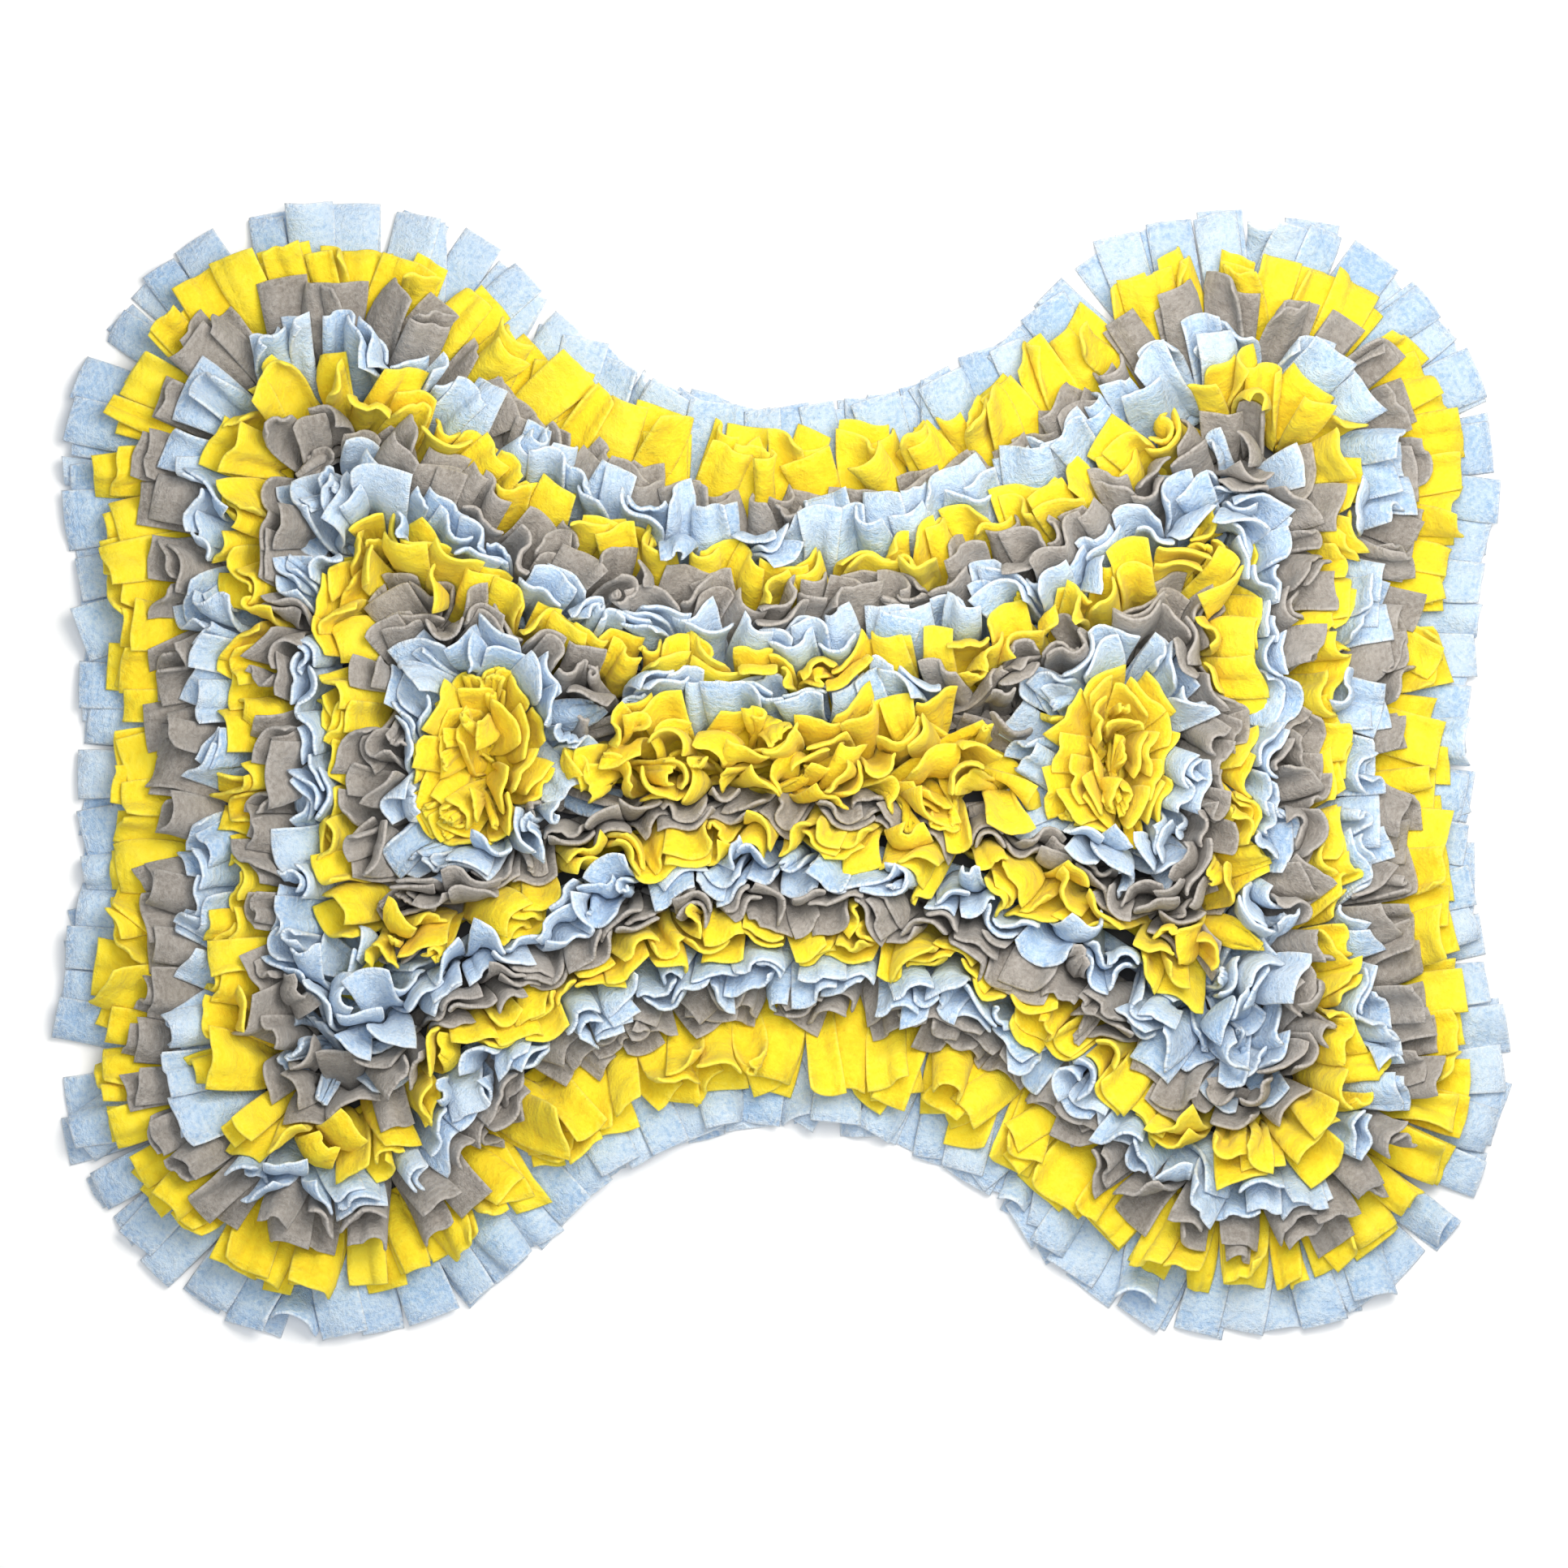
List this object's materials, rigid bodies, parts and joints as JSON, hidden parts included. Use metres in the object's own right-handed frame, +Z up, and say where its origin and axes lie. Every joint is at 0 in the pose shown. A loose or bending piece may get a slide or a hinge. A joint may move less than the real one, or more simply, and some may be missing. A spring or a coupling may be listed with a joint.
{
  "type": "snuffle mat",
  "caption": "Bone-shaped pet snuffle mat: a flat cloth panel with nested rows of fringed fleece, flat at the rim and standing further in.",
  "frame": {"origin": "middle of the mat's underside, on the surface that it lies on, halfway along its length and its width at the flaps' tips", "axes": "+X along the mat's length, +Y across it, +Z up out of the fleece side"},
  "size_m": [0.6968, 0.5471, 0.0499],
  "materials": {
    "backing_slate": "matt plain-woven cloth",
    "fleece_sky": "brushed, slightly pilled fleece",
    "fleece_yolk": "brushed fleece",
    "fleece_taupe": "brushed fleece"
  },
  "bodies": {
    "root": {"backing_panel": "backing_slate", "row_01_sky": "fleece_sky", "row_02_yolk": "fleece_yolk", "row_03_taupe": "fleece_taupe", "row_04_sky": "fleece_sky", "row_05_yolk": "fleece_yolk", "row_06_taupe": "fleece_taupe", "row_07_sky": "fleece_sky", "row_08_yolk": "fleece_yolk", "row_09_sky_middle": "fleece_sky", "row_09_taupe_left": "fleece_taupe", "row_09_taupe_right": "fleece_taupe", "row_10_sky_left": "fleece_sky", "row_10_sky_right": "fleece_sky", "row_11_yolk_left": "fleece_yolk", "row_11_yolk_right": "fleece_yolk", "middle_yolk_far": "fleece_yolk", "middle_yolk_near": "fleece_yolk"}
  },
  "joints": []
}
